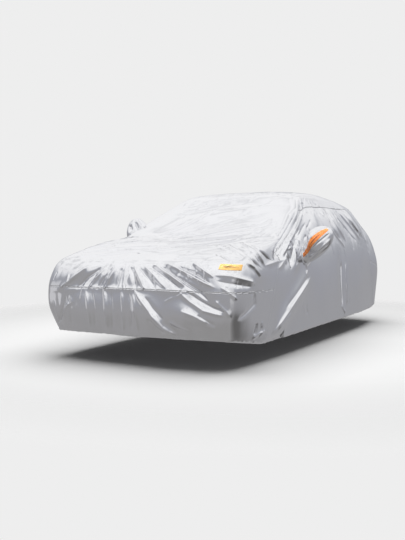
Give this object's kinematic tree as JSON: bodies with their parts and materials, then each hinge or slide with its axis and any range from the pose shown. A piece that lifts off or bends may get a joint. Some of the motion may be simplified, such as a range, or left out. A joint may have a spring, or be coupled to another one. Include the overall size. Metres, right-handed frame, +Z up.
{
  "type": "car cover",
  "caption": "Fitted car cover of glossy silver film in the shape it is pulled over, with mirror pockets and sewn-on reflective strips.",
  "frame": {"origin": "underside of the roof in the middle, where the cover is held up", "axes": "+Z up, -Y towards the nose, +X towards the cover's left side"},
  "size_m": [2.1768, 4.265, 1.2938],
  "materials": {
    "silver_film": "glossy aluminised film on a soft backing",
    "orange_strip": "sewn-on reflective tape, semi-gloss",
    "amber_strip": "sewn-on reflective tape, semi-gloss"
  },
  "bodies": {
    "root": {"top_panel": "silver_film", "front_panel": "silver_film", "rear_panel": "silver_film", "side_panel_left": "silver_film", "side_panel_right": "silver_film", "quarter_panel_left": "silver_film", "quarter_panel_right": "silver_film", "mirror_pocket_left": "silver_film", "mirror_pocket_right": "silver_film", "mirror_strip_left": "orange_strip", "mirror_strip_right": "orange_strip", "headlight_strip_left": "amber_strip", "headlight_strip_right": "amber_strip"}
  },
  "joints": []
}
